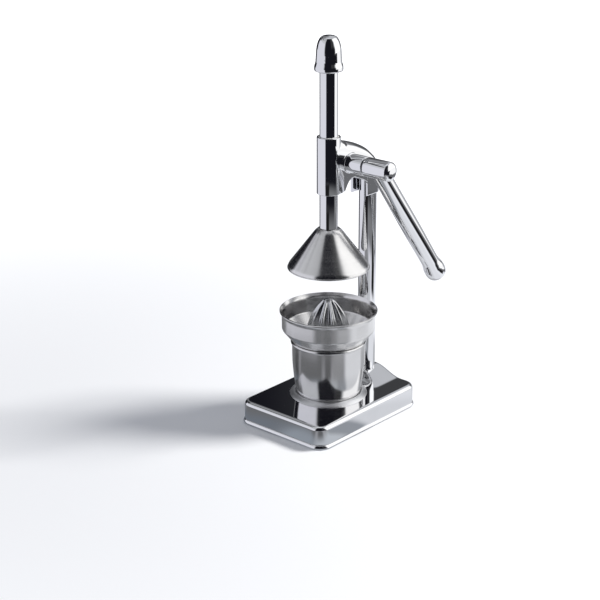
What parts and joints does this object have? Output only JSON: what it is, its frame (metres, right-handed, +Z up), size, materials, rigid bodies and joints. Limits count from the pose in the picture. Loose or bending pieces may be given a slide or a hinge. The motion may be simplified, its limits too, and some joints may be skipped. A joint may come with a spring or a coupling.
{
  "type": "lever citrus juice press",
  "caption": "Upright hand-operated citrus press: a geared side lever lowers a bell onto a ribbed reamer in a strainer set on a juice cup, on a chromed base with a rear column.",
  "frame": {"origin": "on the table, under the plunger's axis, which is also the cup's axis", "axes": "+Z up along the plunger, +X towards the side that carries the lever's hub, +Y towards the column behind the cup, -Y towards the front of the base"},
  "size_m": [0.1209, 0.2015, 0.3925],
  "materials": {
    "chrome": "bright chrome plating",
    "satin_steel": "fine satin, turned round the axis",
    "polished_steel": "polished, with faint turning marks",
    "plain_steel": "zinc-plated, dull",
    "hard_steel": "oiled machined steel",
    "cast_alloy": "tumbled casting",
    "white_nylon": "satin",
    "dark_nylon": "satin",
    "black_rubber": "matt, fine grain"
  },
  "bodies": {
    "stand": {"base_pan": "chrome", "bottom_plate": "plain_steel", "non_slip_mat": "black_rubber", "plate_screw_1": "plain_steel", "plate_screw_2": "plain_steel", "plate_screw_3": "plain_steel", "plate_screw_4": "plain_steel", "column_tube": "chrome", "column_plug": "plain_steel", "column_washer": "plain_steel", "column_bolt": "plain_steel", "head_casting": "chrome", "head_set_screw_1": "hard_steel", "head_set_screw_2": "hard_steel", "lower_guide_bush": "white_nylon", "upper_guide_bush": "white_nylon", "far_shaft_bush": "white_nylon", "near_shaft_bush": "white_nylon"},
    "lever": {"lever_arm": "chrome", "lever_hub": "chrome", "hub_grub_screw": "hard_steel", "pinion_shaft": "hard_steel", "pinion_gear": "hard_steel", "pinion_key": "hard_steel", "shaft_retainer": "hard_steel", "thrust_washer": "dark_nylon"},
    "plunger": {"plunger_rod": "chrome", "rack_strip": "hard_steel", "rack_rivet_1": "hard_steel", "rack_rivet_2": "hard_steel", "plunger_cap": "chrome", "cap_screw": "hard_steel", "press_bell": "satin_steel", "bell_washer": "plain_steel", "bell_screw": "plain_steel"},
    "cup": {"juice_cup": "polished_steel"},
    "strainer": {"strainer_bowl": "satin_steel", "reamer_cone": "cast_alloy", "reamer_screw": "plain_steel"}
  },
  "joints": [
    {"name": "lever_turn", "type": "hinge", "parent": "stand", "child": "lever", "pos_m": [0, 0.019, 0.2652], "axis": [1, 0, 0], "range_deg": [0, 267.4]},
    {"name": "plunger_slide", "type": "slide", "parent": "stand", "child": "plunger", "axis": [0, 0, 1], "range_m": [-0.0561, 0]},
    {"name": "cup_lift", "type": "slide", "parent": "stand", "child": "cup", "axis": [0, 0, 1], "range_m": [0, 0.0034]},
    {"name": "strainer_lift", "type": "slide", "parent": "cup", "child": "strainer", "axis": [0, 0, 1], "range_m": [0, 0.0034]}
  ],
  "couplings": [
    {"joint": "plunger_slide", "follows": "lever_turn", "m_per_rad": -0.012}
  ]
}
